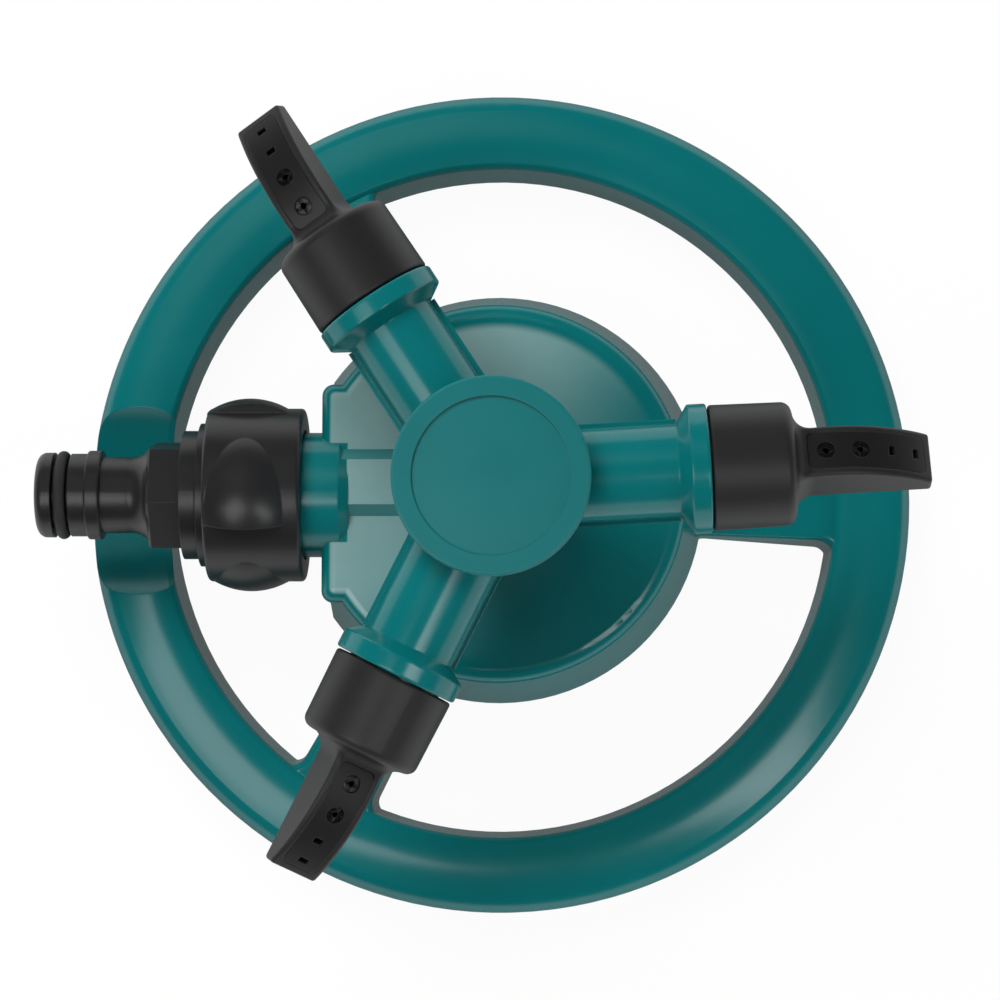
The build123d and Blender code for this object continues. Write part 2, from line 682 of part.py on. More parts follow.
def nozzle_body():
    """Sleeve that snaps over the spigot, with the hollow spray bar on its end."""
    narrow = SLEEVE_RADIUS - SLEEVE_TAPER
    section = outline(
        (SLEEVE_START, 0),
        (SLEEVE_START, SLEEVE_RADIUS),
        (SLEEVE_END, narrow),
        (SLEEVE_END, 0),
    )
    section = rounded(section, SLEEVE_ROUND, (SLEEVE_START, SLEEVE_RADIUS))
    section = rounded(section, SLEEVE_END_ROUND, (SLEEVE_END, narrow))
    body = revolve(section, Axis.X) + spray_bar()
    root = body.edges().filter_by(lambda edge: abs(edge.center().X - SLEEVE_END) < SMALLEST_ROUND / 4)
    root = [edge for edge in root if edge.bounding_box().size.Y <= SPRAY_BAR_WIDTH + SMALLEST_ROUND]
    body = fillet(root, SPRAY_ROOT_ROUND)

    bore = SPIGOT_RADIUS + RUNNING_GAP
    body -= lying_cylinder(bore, SLEEVE_START - CUT, SLEEVE_BORE_END)
    bead = FLANGE_REACH + SNAP_BEAD_AT
    body -= lying_ring(
        0,
        SPIGOT_RADIUS + SNAP_BEAD_RISE + SNAP_GROOVE_ROOM,
        bead - SNAP_GROOVE_ROOM,
        bead + SNAP_BEAD_WIDTH + SNAP_GROOVE_ROOM,
    )
    seat = plate_prism(PLATE_MARGIN - SEAT_GAP) - spray_round(SPRAY_ARC_RADIUS - PLATE_THICKNESS)
    channel = plate_prism(PLATE_MARGIN + PLATE_LEDGE) & spray_round(SPRAY_ARC_RADIUS)
    floor = slab(0, 2 * NOZZLE_TIP, 2 * SPRAY_BAR_WIDTH, -SPRAY_BAR_WIDTH * 2, -CHANNEL_DEPTH)
    feed_end = SLEEVE_END + PLATE_START + PLATE_LEDGE + PLATE_CORNER_ROUND
    feed = slab(SLEEVE_BORE_END - CUT, feed_end, CHANNEL_WIDTH, -CHANNEL_DEPTH, CHANNEL_DEPTH)
    return body - seat - (channel - floor) - feed


def jet_plate():
    """Curved plate over the spray bar's channel, with holes for the jets and two slots."""
    plate = plate_prism(PLATE_MARGIN) & spray_round(SPRAY_ARC_RADIUS)
    plate -= spray_round(SPRAY_ARC_RADIUS - PLATE_THICKNESS)
    hole = Cylinder(JET_RADIUS + SEAT_GAP, 4 * PLATE_THICKNESS)
    slot = Box(SLOT_WIDTH, SLOT_LENGTH, 4 * PLATE_THICKNESS)
    plate -= [on_spray_arc(place, hole) for place in JET_PLACES]
    return plate - [on_spray_arc(place, slot) for place in SLOT_PLACES]


def swirl_jets():
    """The two round jets of one nozzle, each with a cross over its orifice."""
    jet = upright_cylinder(JET_RADIUS, -PLATE_THICKNESS, -JET_SINK)
    jet -= Cylinder(JET_ORIFICE_RADIUS, 4 * PLATE_THICKNESS)
    bar = Pos(0, 0, -JET_SINK) * Box(2 * JET_RADIUS - JET_CROSS_WIDTH, JET_CROSS_WIDTH, 2 * JET_CROSS_DEPTH)
    jet -= [bar, Rot(0, 0, 90) * bar]
    return Compound([solid for place in JET_PLACES for solid in on_spray_arc(place, jet).solids()])


def hose_nipple():
    """Quick-connect nipple, drawn along +X."""
    groove_floor = O_RING_RADIUS - O_RING_SECTION - SEAL_GAP
    flare_radius = NECK_RADIUS + FLARE_LENGTH / 2
    inner_edge = Polyline(
        (NIPPLE_TIP, NIPPLE_BORE_RADIUS),
        (TAIL_START, NIPPLE_BORE_RADIUS),
        (TAIL_START, TAIL_RADIUS),
        (TAIL_END, TAIL_RADIUS),
        (TAIL_END, NIPPLE_FLANGE_RADIUS),
        (NIPPLE_FLANGE_END, NIPPLE_FLANGE_RADIUS),
        (NIPPLE_FLANGE_END, flare_radius),
        (HEX_END, flare_radius),
    )
    flare = RadiusArc((HEX_END, flare_radius), (FLARE_END, NECK_RADIUS), -FLARE_LENGTH)
    outer_edge = Polyline(
        (FLARE_END, NECK_RADIUS),
        (LOCK_RIB_START, NECK_RADIUS),
        (LOCK_RIB_START, LOCK_RIB_RADIUS),
        (LAND_START, LOCK_RIB_RADIUS),
        (LAND_START, LAND_RADIUS),
        (GROOVE_START, LAND_RADIUS),
        (GROOVE_START, groove_floor),
        (TIP_START, groove_floor),
        (TIP_START, TIP_RADIUS),
        (NIPPLE_TIP, TIP_RADIUS),
        (NIPPLE_TIP, NIPPLE_BORE_RADIUS),
    )
    section = Plane.XZ * make_face([inner_edge, flare, outer_edge])
    section = rounded(section, TIP_ROUND, (NIPPLE_TIP, TIP_RADIUS))
    for rib_edge in (LOCK_RIB_START, LAND_START):
        section = rounded(section, LOCK_RIB_ROUND, (rib_edge, LOCK_RIB_RADIUS))
    nipple = revolve(section, Axis.X)
    hexagon = Plane.YZ * Rot(0, 0, 90 + HEX_TURN) * RegularPolygon(HEX_RADIUS, 6)
    collar = Pos(NIPPLE_FLANGE_END, 0, 0) * extrude(hexagon, HEX_WIDTH)
    collar = chamfer(collar.faces().sort_by(Axis.X)[-1].edges(), HEX_CHAMFER)
    nipple += collar - lying_cylinder(NIPPLE_BORE_RADIUS, NIPPLE_FLANGE_END - CUT, HEX_END + CUT)
    return nipple - lying_ring(
        TAIL_RADIUS - SNAP_RING_DEPTH - SEAT_GAP,
        TAIL_RADIUS + CUT,
        SNAP_RING_AT - SNAP_RING_THICKNESS - SEAT_GAP,
        SNAP_RING_AT + SEAT_GAP,
    )


def nipple_o_ring():
    """O-ring near the nipple's tip, drawn along +X."""
    half_section = O_RING_SECTION / 2
    o_ring = Torus(O_RING_RADIUS - half_section, half_section)
    return Pos((GROOVE_START + TIP_START) / 2, 0, 0) * Rot(0, 90, 0) * o_ring


def hose_washer():
    """Flat rubber washer between the port and the nipple's tail, drawn along +X."""
    return lying_ring(HOSE_WASHER_BORE_RADIUS, HOSE_WASHER_RADIUS, PORT_END, TAIL_START)


def nut_snap_ring():
    """Open ring in the tail's groove that keeps the nut on, drawn along +X."""
    section = outline(
        (SNAP_RING_AT - SNAP_RING_THICKNESS, TAIL_RADIUS - SNAP_RING_DEPTH),
        (SNAP_RING_AT, TAIL_RADIUS - SNAP_RING_DEPTH),
        (SNAP_RING_AT, SNAP_RING_RADIUS),
        (SNAP_RING_AT - SNAP_RING_THICKNESS, SNAP_RING_RADIUS),
    )
    return revolve(section, Axis.X, revolution_arc=360 - SNAP_RING_OPENING)


def swivel_nut():
    """Nut with grip lobes, bored for the port's thread, drawn along +X."""
    inner_wall = NUT_OUTER_END - NUT_END_WALL
    shoulder = NUT_OUTER_END - NUT_LIP_LENGTH
    thread = THREAD_RADIUS + RUNNING_GAP
    section = outline(
        (NUT_INNER_END, thread),
        (inner_wall, thread),
        (inner_wall, TAIL_RADIUS + RUNNING_GAP),
        (NUT_OUTER_END, TAIL_RADIUS + RUNNING_GAP),
        (NUT_OUTER_END, NUT_LIP_RADIUS),
        (shoulder, NUT_LIP_RADIUS),
        (shoulder, NUT_RADIUS),
        (NUT_INNER_END, NUT_RADIUS),
    )
    section = rounded(section, NUT_EDGE_ROUND, (shoulder, NUT_RADIUS), (NUT_INNER_END, NUT_RADIUS))
    nut = revolve(section, Axis.X)

    near = NUT_INNER_END + NUT_LOBE_MARGIN
    offset = NUT_RADIUS + NUT_LOBE_RISE - NUT_LOBE_BULGE
    waist = NUT_RADIUS - NUT_LOBE_SINK - offset
    pillow = ThreePointArc((near, waist), ((near + shoulder) / 2, NUT_LOBE_BULGE), (shoulder, waist))
    ends = Polyline((shoulder, waist), (shoulder, 0), (near, 0), (near, waist))
    lobe = Pos(0, 0, offset) * revolve(Plane.XZ * make_face([pillow, ends]), Axis.X)
    lobe -= lying_cylinder(NUT_RADIUS - NUT_LOBE_SINK, near - CUT, shoulder + CUT)
    half = slab(near - CUT, shoulder + CUT, 2 * NUT_RADIUS, -2 * NUT_RADIUS, 2 * NUT_RADIUS)
    lobe -= Pos(0, NUT_RADIUS, 0) * half
    lobes = [Rot(NUT_LOBE_TURN + 360 / NUT_LOBES * index, 0, 0) * lobe for index in range(NUT_LOBES)]
    return nut + lobes


def sprinkler():
    """Every piece of the sprinkler by name, at its place."""
    pieces = {
        "base_frame": base_frame(),
        "pivot_stem": pivot_stem(),
        "stem_seal": stem_seal(),
        "lower_thrust_washer": thrust_washer(RISER_TOP),
        "rotor_body": rotor_body(),
        "hub_bush": hub_bush(),
        "upper_thrust_washer": thrust_washer(HUB_FLOOR_TOP),
        "hub_cap": hub_cap(),
        "cap_seal": cap_seal(),
        "hose_nipple": at_inlet(hose_nipple()),
        "nipple_o_ring": at_inlet(nipple_o_ring()),
        "hose_washer": at_inlet(hose_washer()),
        "nut_snap_ring": at_inlet(nut_snap_ring()),
        "swivel_nut": at_inlet(swivel_nut()),
    }
    body, plate, jets, seal = nozzle_body(), jet_plate(), swirl_jets(), nozzle_seal()
    for index, twist in enumerate(NOZZLE_TWISTS):
        nozzle = f"nozzle_{index + 1}"
        pieces[f"{nozzle}_body"] = at_arm(index, body, twist)
        pieces[f"{nozzle}_jet_plate"] = at_arm(index, plate, twist)
        pieces[f"{nozzle}_swirl_jets"] = at_arm(index, jets, twist)
        pieces[f"{nozzle}_seal"] = at_arm(index, seal)
    return pieces


if __name__ == "__main__":
    os.makedirs("parts", exist_ok=True)
    for name, piece in sprinkler().items():
        export_step(piece, f"parts/{name}.step")
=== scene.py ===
import json
from math import cos, pi, sin

import bpy
from bpy.props import FloatProperty, FloatVectorProperty, PointerProperty
from mathutils import Matrix, Vector


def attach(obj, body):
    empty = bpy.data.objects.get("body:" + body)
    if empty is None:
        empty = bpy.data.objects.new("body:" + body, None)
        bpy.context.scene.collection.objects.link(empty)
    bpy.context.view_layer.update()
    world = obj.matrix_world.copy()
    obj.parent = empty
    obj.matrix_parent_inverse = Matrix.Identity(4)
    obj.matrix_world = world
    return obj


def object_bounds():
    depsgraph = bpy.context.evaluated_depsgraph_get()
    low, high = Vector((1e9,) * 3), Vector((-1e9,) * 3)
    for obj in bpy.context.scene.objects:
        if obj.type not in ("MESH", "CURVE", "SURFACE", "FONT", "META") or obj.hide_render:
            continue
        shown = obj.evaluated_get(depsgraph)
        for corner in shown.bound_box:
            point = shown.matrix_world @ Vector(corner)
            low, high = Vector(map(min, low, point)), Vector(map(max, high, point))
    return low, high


# Looks of a three-arm lawn sprinkler: moulded plastic finishes and a pale studio, built round
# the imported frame. Lengths are metres in the frame's own axes: +Z is up and the hose inlet
# points along -X.

bl_info = {
    "name": "Lawn sprinkler looks",
    "version": (1, 0, 0),
    "blender": (4, 5, 0),
    "location": "3D View > Sidebar > Sprinkler",
    "description": "Finishes the moulded pieces of a lawn sprinkler and sets up a pale studio",
    "category": "Object",
}

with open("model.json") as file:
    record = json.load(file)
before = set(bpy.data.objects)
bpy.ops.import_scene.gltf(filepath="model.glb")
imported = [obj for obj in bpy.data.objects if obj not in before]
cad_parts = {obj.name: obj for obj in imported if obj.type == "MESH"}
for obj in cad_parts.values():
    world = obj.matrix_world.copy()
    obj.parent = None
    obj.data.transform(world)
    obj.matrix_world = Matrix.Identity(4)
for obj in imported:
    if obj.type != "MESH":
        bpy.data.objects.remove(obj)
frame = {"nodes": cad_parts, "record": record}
cad_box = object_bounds()

WHITE = (1, 1, 1, 1)

# Where the painted sheen lies, a pale reflection of the key light painted into the colour: on
# level faces of the drum's top and a little above it, off the inlet's collar. It ends between two
# radii, except toward the squared front, and grows along its heading in X and Y, toward the key
# light, from nothing where the rotor's shadow falls to its full strength.
DRUM_TOP = 0.041
PAINTED_SHEEN_MARGIN = 0.0001
PAINTED_SHEEN_REACH = 0.0022
PAINTED_SHEEN_EDGE = 0.0003
PAINTED_SHEEN_LEVEL = (0.80, 0.95)
PAINTED_SHEEN_RIM = (0.0325, 0.0345)
PAINTED_SHEEN_HEADING = (-0.8, 0.6)
PAINTED_SHEEN_GROWTH = (-0.022, 0.024)
PAINTED_SHEEN_TINT = (0.85, 1.0, 0.97, 1.0)
COLLAR_BACK = -0.0300
COLLAR_SIDE = 0.0098
FRONT_TO_ROUND = (-0.022, -0.018)

# The strip of the ring's crown whose shading is evened: how far it runs inward and outward from
# the ring's middle radius, its flattening per metre and its slope.
RING_MIDDLE = 0.0775
CROWN_INNER = -0.0065
CROWN_OUTER = 0.0045
CROWN_FLATTENING = 14.0
CROWN_LEAN = 0.10

# The thread's ridge: steps in a turn, how deep its foot sinks into the port, and its profile as
# shares of the pitch along the inlet and of the ridge's height; it runs out in a part of a turn.
THREAD_STEPS = 64
THREAD_SINK = 0.0001
THREAD_PROFILE = ((-0.40, 0.0), (-0.10, 1.0), (0.10, 1.0), (0.40, 0.0))
THREAD_RUN_OUT = 0.25

# The floor: the share of its own glow in what is seen of it, and how bright that glow is in
# reflections, both under the object, where its dimness is painted shade, and beyond the radii
# between which it rises.
FLOOR_GLOW = 0.95
FLOOR_SHADED = 0.2
FLOOR_OPEN = 0.9
SHADE_START, SHADE_END = 0.085, 0.13
FLOOR_HALF = 4.0
FLOOR_GAP = 0.0002

LIGHT_AIM = (0, 0, 0.03)
SENSOR_WIDTH = 36.0


class Wire:
    """A node's output that takes part in sums; each sum adds a Math node."""

    def __init__(self, finish, socket):
        self.finish = finish
        self.socket = socket

    def combine(self, operation, first, second):
        """Adds a Math node that works on two values or outputs."""
        return self.finish.node("ShaderNodeMath", {"operation": operation}, {0: first, 1: second})

    def __add__(self, other):
        return self.combine("ADD", self, other)

    def __radd__(self, other):
        return self.combine("ADD", other, self)

    def __sub__(self, other):
        return self.combine("SUBTRACT", self, other)

    def __rsub__(self, other):
        return self.combine("SUBTRACT", other, self)

    def __mul__(self, other):
        return self.combine("MULTIPLY", self, other)

    def __rmul__(self, other):
        return self.combine("MULTIPLY", other, self)


class Finish:
    """The node tree of a material or world, filled by one method."""

    def __init__(self, owner):
        owner.use_nodes = True
        self.owner = owner
        self.tree = owner.node_tree
        self.tree.nodes.clear()

    def node(self, kind, settings=None, sockets=None, output=0):
        """Adds a node: its settings first, then the values or links of its sockets."""
        node = self.tree.nodes.new(kind)
        for name, value in (settings or {}).items():
            if name == "stops":
                for element, (position, colour) in zip(node.color_ramp.elements, value):
                    element.position = position
                    element.color = colour
            else:
                setattr(node, name, value)
        for name, value in (sockets or {}).items():
            if isinstance(value, Wire):
                self.tree.links.new(value.socket, node.inputs[name])
            else:
                node.inputs[name].default_value = value
        return Wire(self, node.outputs[output]) if node.outputs else None


def new_material(name):
    """A material with an empty node tree."""
    return Finish(bpy.data.materials.new(name))


def rgba(colour):
    """A colour with full alpha."""
    return (*colour, 1.0)


class SprinklerColours(bpy.types.PropertyGroup):
    """Colours of the pieces."""

    teal: FloatVectorProperty(
        name="Teal",
        description="Moulded base, rotor and cap",
        subtype="COLOR",
        default=(0.0016, 0.128, 0.134),
    )
    black: FloatVectorProperty(
        name="Black",
        description="Nozzles, nut and nipple",
        subtype="COLOR",
        default=(0.013, 0.013, 0.0135),
    )
    plate: FloatVectorProperty(
        name="Plates",
        description="Plates that close the spray bars",
        subtype="COLOR",
        default=(0.007, 0.007, 0.0073),
    )
    jet: FloatVectorProperty(
        name="Jets",
        description="Pressed-in swirl jets",
        subtype="COLOR",
        default=(0.003, 0.003, 0.003),
    )
    rubber: FloatVectorProperty(
        name="Rubber",
        description="Seals and washers",
        subtype="COLOR",
        default=(0.012, 0.012, 0.012),
    )
    acetal: FloatVectorProperty(
        name="Acetal",
        description="Stem, bush and thrust washers",
        subtype="COLOR",
        default=(0.72, 0.72, 0.68),
    )
    steel: FloatVectorProperty(
        name="Steel",
        description="Snap ring in the nut",
        subtype="COLOR",
        default=(0.55, 0.55, 0.54),
    )


class SprinklerSurface(bpy.types.PropertyGroup):
    """Gloss and grain of the mouldings."""

    teal_roughness: FloatProperty(
        name="Teal roughness",
        description="Satin gloss of the teal",
        subtype="FACTOR",
        min=0.0,
        max=1.0,
        default=0.18,
    )
    # Strength of the painted sheen on the drum's top, a reflection of the key light painted into
    # its colour.
    bloom_and_painted_sheen: FloatProperty(
        name="Bloom",
        description="Strength of the pale water bloom on the drum's top",
        subtype="FACTOR",
        min=0.0,
        max=1.0,
        default=0.22,
    )
    cap_roughness: FloatProperty(
        name="Cap roughness",
        description="Duller gloss of the hub's cap",
        subtype="FACTOR",
        min=0.0,
        max=1.0,
        default=0.42,
    )
    black_roughness: FloatProperty(
        name="Black roughness",
        description="Satin gloss of the nozzles",
        subtype="FACTOR",
        min=0.0,
        max=1.0,
        default=0.46,
    )
    gloss_roughness: FloatProperty(
        name="Nut roughness",
        description="Higher gloss of the nut and nipple",
        subtype="FACTOR",
        min=0.0,
        max=1.0,
        default=0.32,
    )
    jet_roughness: FloatProperty(
        name="Jet roughness",
        description="Smooth gloss of the swirl jets",
        subtype="FACTOR",
        min=0.0,
        max=1.0,
        default=0.20,
    )
    acetal_roughness: FloatProperty(
        name="Acetal roughness",
        description="Gloss of the stem, bush and thrust washers",
        subtype="FACTOR",
        min=0.0,
        max=1.0,
        default=0.38,
    )
    grain_size: FloatProperty(
        name="Grain", description="Size of the mould's fine texture", unit="LENGTH", default=0.00045
    )
    grain_height: FloatProperty(
        name="Grain height",
        description="Height of the mould's fine texture",
        unit="LENGTH",
        default=0.000010,
    )
    edge_round: FloatProperty(
        name="Edge round",
        description="Softness of the moulded edges",
        unit="LENGTH",
        default=0.0004,
    )


class SprinklerThread(bpy.types.PropertyGroup):
    """Screw thread on the inlet port, measured from the rotor's axis along the inlet."""

    pitch: FloatProperty(
        name="Pitch", description="Lead of one turn", unit="LENGTH", default=0.001814
    )
    root: FloatProperty(
        name="Root radius", description="Radius of the port", unit="LENGTH", default=0.0123
    )
    depth: FloatProperty(
        name="Depth", description="Height of the ridge", unit="LENGTH", default=0.0008
    )
    start: FloatProperty(
        name="Start", description="Where the ridge starts", unit="LENGTH", default=0.0400
    )
    end: FloatProperty(
        name="End", description="Where the ridge ends", unit="LENGTH", default=0.0472
    )
    height: FloatProperty(
        name="Inlet height", description="Height of the inlet's axis", unit="LENGTH", default=0.033
    )


class SprinklerStudio(bpy.types.PropertyGroup):
    """Camera, light and floor."""

    camera_place: FloatVectorProperty(
        name="Camera",
        description="Where the camera stands",
        subtype="XYZ",
        unit="LENGTH",
        default=(0.0146, -0.0434, 0.700),
    )
    camera_target: FloatVectorProperty(
        name="Aim",
        description="Point in the middle of the view",
        subtype="XYZ",
        unit="LENGTH",
        default=(-0.0002, 0.0011, 0.0),
    )
    lens: FloatProperty(
        name="Lens", description="Focal length in millimetres", unit="CAMERA", default=119.0
    )
    key_power: FloatProperty(
        name="Key light", description="Power of the large softbox", unit="POWER", default=11.0
    )
    left_power: FloatProperty(
        name="Left light", description="Power of the left softbox", unit="POWER", default=0.72
    )
    right_power: FloatProperty(
        name="Right light", description="Power of the right softbox", unit="POWER", default=0.45
    )
    fill_power: FloatProperty(
        name="Fill light", description="Power of the low softbox", unit="POWER", default=1.3
    )
    sky: FloatProperty(
        name="Sky", description="Level of the light from the horizon", default=1.1
    )
    floor: FloatVectorProperty(
        name="Floor", description="Floor colour", subtype="COLOR", default=(0.86, 0.86, 0.86)
    )


def between(finish, value, low, high):
    """Runs smoothly from 0 at the low value to 1 at the high one."""
    return finish.node(
        "ShaderNodeMapRange",
        {"interpolation_type": "SMOOTHSTEP"},
        {"Value": value, "From Min": low, "From Max": high, "To Min": 0.0, "To Max": 1.0},
    )


def noise(finish, place, scale, detail, roughness=0.5):
    """Cloudy pattern; its scale is in cells per metre."""
    return finish.node(
        "ShaderNodeTexNoise",
        sockets={"Vector": place, "Scale": scale, "Detail": detail, "Roughness": roughness},
    )


def blend(finish, share, first, second):
    """Mixes two colours; the share is that of the second."""
    return finish.node(
        "ShaderNodeMix",
        {"data_type": "RGBA"},
        {"Factor": share, "A": first, "B": second},
        output=2,
    )


def distance(finish, place):
    """How far a place is from the frame's origin."""
    return finish.node(
        "ShaderNodeVectorMath", {"operation": "LENGTH"}, {0: place}, output="Value"
    )


def drum_painted_sheen(finish, place):
    """Painted sheen of the key light on the drum's flat top, mostly on the inlet's side."""
    along, across, height = (
        finish.node("ShaderNodeSeparateXYZ", sockets={"Vector": place}, output=axis)
        for axis in "XYZ"
    )
    low, high = DRUM_TOP - PAINTED_SHEEN_MARGIN, DRUM_TOP + PAINTED_SHEEN_REACH
    top = between(finish, height, low - PAINTED_SHEEN_EDGE, low)
    clear = 1.0 - between(finish, height, high, high + PAINTED_SHEEN_EDGE)
    facing = finish.node("ShaderNodeTexCoord", output="Normal")
    upward = finish.node("ShaderNodeSeparateXYZ", sockets={"Vector": facing}, output="Z")
    flat = between(finish, upward, *PAINTED_SHEEN_LEVEL)

    behind = between(finish, along, COLLAR_BACK, COLLAR_BACK + PAINTED_SHEEN_EDGE)
    beside = between(finish, across * across, COLLAR_SIDE**2, (COLLAR_SIDE + PAINTED_SHEEN_EDGE) ** 2)
    collar = (1.0 - behind) * (1.0 - beside)
    squares = along * along + across * across
    rim = between(finish, squares, *(radius**2 for radius in PAINTED_SHEEN_RIM))
    rounded = between(finish, along, *FRONT_TO_ROUND)
    # Painted sheen grows toward the key light; there is none where the rotor's shadow falls.
    toward = PAINTED_SHEEN_HEADING[0] * along + PAINTED_SHEEN_HEADING[1] * across
    side = between(finish, toward, *PAINTED_SHEEN_GROWTH)
    return top * clear * flat * (1.0 - collar) * (1.0 - rim * rounded) * side


def ring_crown(finish, place):
    """Relief that flattens the ring's crown and leans it outward, for broad highlights."""
    level = finish.node(
        "ShaderNodeVectorMath", {"operation": "MULTIPLY"}, {0: place, 1: (1, 1, 0)}
    )
    across = finish.node(
        "ShaderNodeMapRange",
        sockets={
            "Value": distance(finish, level),
            "From Min": RING_MIDDLE + CROWN_INNER,
            "From Max": RING_MIDDLE + CROWN_OUTER,
            "To Min": CROWN_INNER,
            "To Max": CROWN_OUTER,
        },
    )
    return CROWN_FLATTENING * across * across - CROWN_LEAN * across


def moulded_plastic(name, colour, roughness, surface, mottle=0.10, bloom_and_painted_sheen=None, relief=None):
    """Satin plastic, mould grain, flow clouds, soft edges; painted sheen and relief if wanted."""
    finish = new_material(name)
    place = finish.node("ShaderNodeTexCoord", output="Object")
    cloud = noise(finish, place, scale=45.0, detail=4.0, roughness=0.55)
    grain = noise(finish, place, scale=1 / surface.grain_size, detail=2.0)
    paler = rgba([min(1.0, channel * (1 + mottle) + 0.0008) for channel in colour])
    darker = rgba([channel * (1 - mottle) for channel in colour])
    tint = blend(finish, cloud, darker, paler)
    # Painted sheen: pale colour mixed in where the key light would reflect off the drum's top.
    if bloom_and_painted_sheen:
        share = surface.bloom_and_painted_sheen * bloom_and_painted_sheen(finish, place) * (0.7 + 0.6 * cloud)
        tint = blend(finish, share, tint, PAINTED_SHEEN_TINT)
    normal = finish.node("ShaderNodeBevel", {"samples": 6}, {"Radius": surface.edge_round})
    if relief:
        height = relief(finish, place)
        normal = finish.node(
            "ShaderNodeBump",
            sockets={"Strength": 1.0, "Distance": 1.0, "Height": height, "Normal": normal},
        )
    bump = finish.node(
        "ShaderNodeBump",
        sockets={
            "Strength": 0.6,
            "Distance": surface.grain_height,
            "Height": grain,
            "Normal": normal,
        },
    )
    shader = finish.node(
        "ShaderNodeBsdfPrincipled",
        sockets={
            "Base Color": tint,
            "Roughness": 0.05 * cloud + 0.03 * grain + roughness - 0.04,
            "IOR": 1.49,
            "Normal": bump,
        },
    )
    finish.node("ShaderNodeOutputMaterial", sockets={"Surface": shader})
    return finish.owner


def soft_rubber(name, colour):
    """Dull rubber with faint whitish patches where it blooms."""
    finish = new_material(name)
    place = finish.node("ShaderNodeTexCoord", output="Object")
    bloom_and_painted_sheen = noise(finish, place, scale=180.0, detail=4.0)
    pale = rgba([channel * 1.8 for channel in colour])
    tint = blend(finish, bloom_and_painted_sheen, rgba(colour), pale)
    bump = finish.node(
        "ShaderNodeBump", sockets={"Strength": 0.4, "Distance": 0.00002, "Height": bloom_and_painted_sheen}
    )
    shader = finish.node(
        "ShaderNodeBsdfPrincipled",
        sockets={"Base Color": tint, "Roughness": 0.55 + 0.15 * bloom_and_painted_sheen, "Normal": bump},
    )
    finish.node("ShaderNodeOutputMaterial", sockets={"Surface": shader})
    return finish.owner


def brushed_steel(name, colour):
    """Spring steel with fine scratches."""
    finish = new_material(name)
    place = finish.node("ShaderNodeTexCoord", output="Object")
    scratch = noise(finish, place, scale=2600.0, detail=2.0)
    bump = finish.node(
        "ShaderNodeBump", sockets={"Strength": 0.3, "Distance": 0.00001, "Height": scratch}
    )
    shader = finish.node(
        "ShaderNodeBsdfPrincipled",
        sockets={
            "Base Color": rgba(colour),
            "Metallic": 1.0,
            "Roughness": 0.24 + 0.16 * scratch,
            "Normal": bump,
        },
    )
    finish.node("ShaderNodeOutputMaterial", sockets={"Surface": shader})
    return finish.owner


def dress(names, material):
    """Gives a material to the nodes with these names or these record slots."""
    for row in frame["record"]["subparts"]:
        if row["material_slot"] in names or row["node"] in names:
            mesh = frame["nodes"][row["node"]].data
            mesh.materials.clear()
            mesh.materials.append(material)


def thread_ridge(thread):
    """Mesh of a right-handed ridge that rises from the port and runs out at both ends."""
    turns = (thread.end - thread.start) / thread.pitch
    count = round(turns * THREAD_STEPS)
    points = []
    faces = []
    for step in range(count + 1):
        turn = turns * step / count
        rise = min(1.0, turn / THREAD_RUN_OUT, (turns - turn) / THREAD_RUN_OUT)
        for along, share in THREAD_PROFILE:
            radius = thread.root - THREAD_SINK + (thread.depth + THREAD_SINK) * share * rise
            place = thread.start + thread.pitch * (turn + along)
            angle = 2 * pi * turn
            points.append((-place, radius * sin(angle), thread.height + radius * cos(angle)))
    for first in range(0, 4 * count, 4):
        for corner in range(4):
            after = (corner + 1) % 4
            faces.append((first + corner, first + after, first + 4 + after, first + 4 + corner))
    mesh = bpy.data.meshes.new("port_thread")
    mesh.from_pydata(points, [], faces + [(3, 2, 1, 0), tuple(range(4 * count, 4 * count + 4))])
    return mesh


class SPRINKLER_OT_thread(bpy.types.Operator):
    """Add the screw thread that the nut turns on"""

    bl_idname = "sprinkler.thread"
    bl_label = "Port thread"

    def execute(self, context):
        scene = context.scene
        mesh = thread_ridge(scene.sprinkler_thread)
        colour, surface = scene.sprinkler_colours.teal, scene.sprinkler_surface
        teal = moulded_plastic("teal_thread", colour, surface.teal_roughness, surface)
        mesh.materials.append(teal)
        ridge = bpy.data.objects.new("port_thread", mesh)
        scene.collection.objects.link(ridge)
        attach(ridge, "base")
        return {"FINISHED"}


class SPRINKLER_OT_teal(bpy.types.Operator):
    """Finish the base, rotor and cap in teal plastic"""

    bl_idname = "sprinkler.teal"
    bl_label = "Teal mouldings"

    def execute(self, context):
        colours, surface = context.scene.sprinkler_colours, context.scene.sprinkler_surface
        # The teal mouldings get a sheen of the key light painted on the drum's top, and the crown's
        # relief.
        teal = moulded_plastic(
            "teal_moulding",
            colours.teal,
            surface.teal_roughness,
            surface,
            bloom_and_painted_sheen=drum_painted_sheen,
            relief=ring_crown,
        )
        cap = moulded_plastic("teal_cap", colours.teal, surface.cap_roughness, surface)
        dress(["teal_plastic"], teal)
        dress(["hub_cap"], cap)
        return {"FINISHED"}


